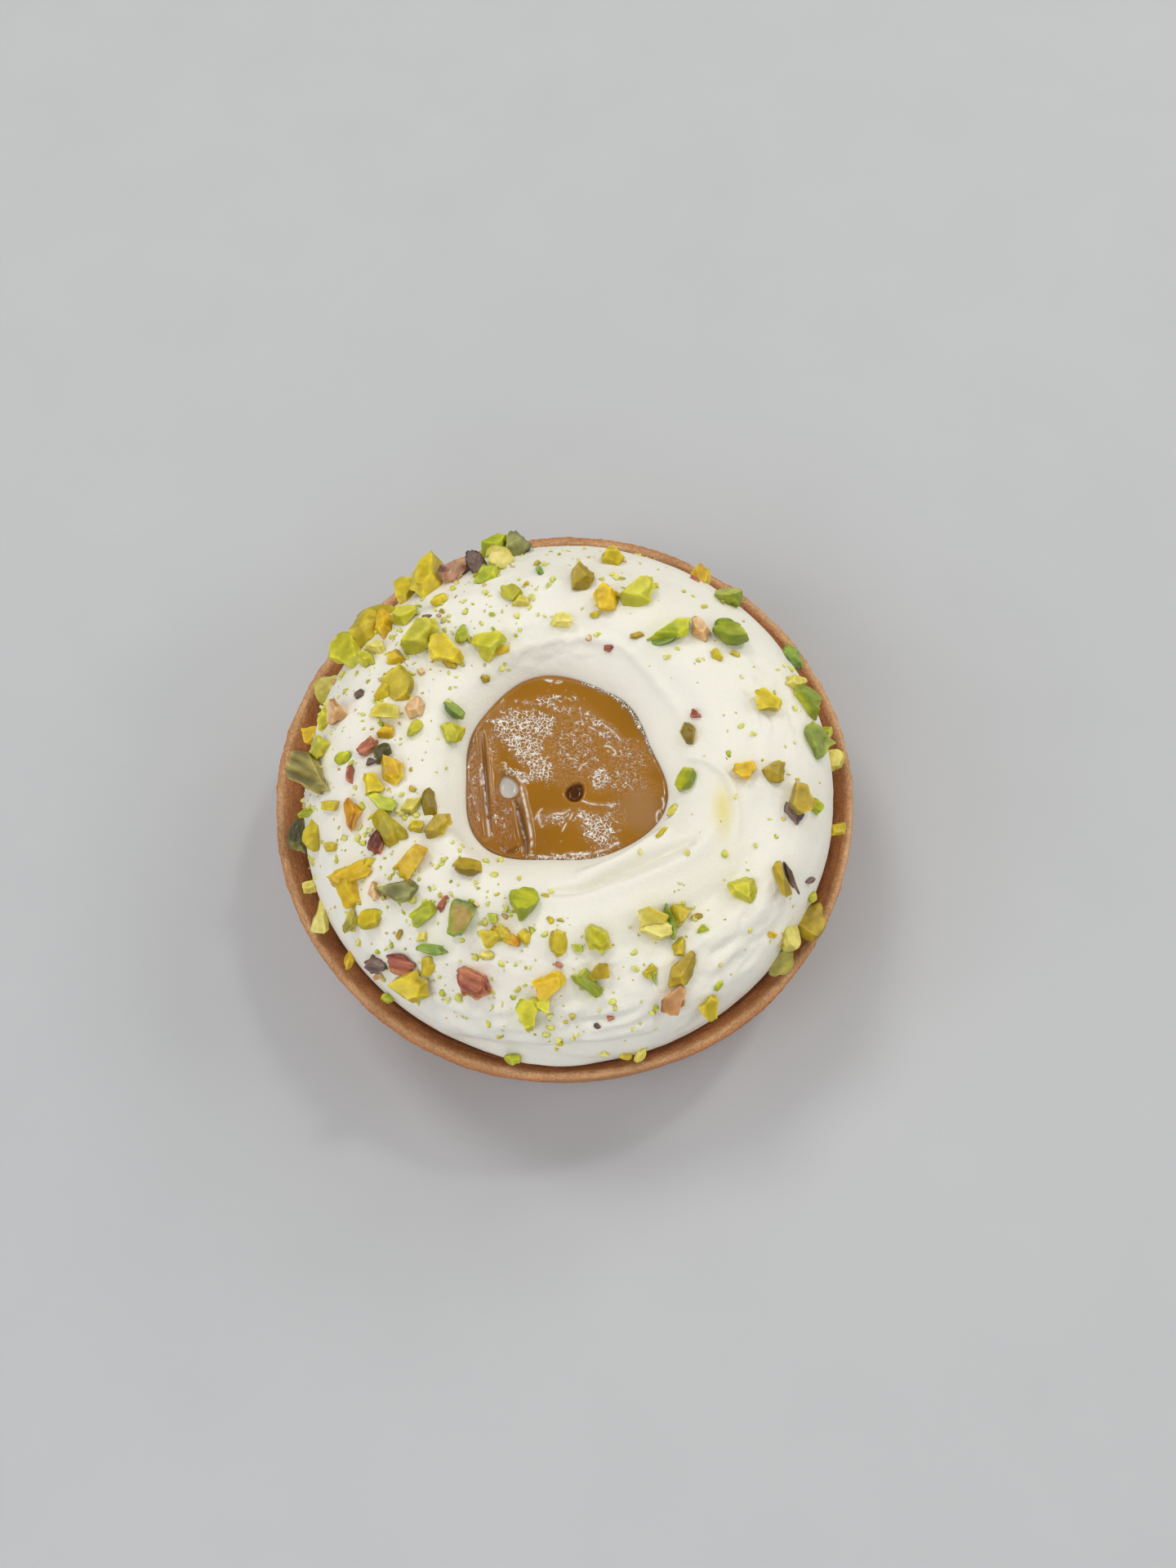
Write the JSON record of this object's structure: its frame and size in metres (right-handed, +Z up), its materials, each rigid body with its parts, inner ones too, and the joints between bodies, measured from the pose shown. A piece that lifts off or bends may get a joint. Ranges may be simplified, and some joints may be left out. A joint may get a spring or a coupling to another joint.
{
  "type": "pistachio tart",
  "caption": "Individual round tart: baked pastry shell, domed ring of whipped cream scattered with chopped pistachios, and a poured praline centre.",
  "frame": {"origin": "centre of the tart's flat foot, on the surface that it stands on", "axes": "+Z up along the tart's axis, -Y towards the pictured front, +X to the picture's right"},
  "size_m": [0.0799, 0.0803, 0.0346],
  "materials": {
    "baked_pastry": "matt, golden brown, fine crumb",
    "whipped_cream": "satin, off-white",
    "nut_praline": "glossy caramel brown"
  },
  "bodies": {
    "root": {"pastry_shell": "baked_pastry", "whipped_cream": "whipped_cream", "praline_centre": "nut_praline"}
  },
  "joints": []
}
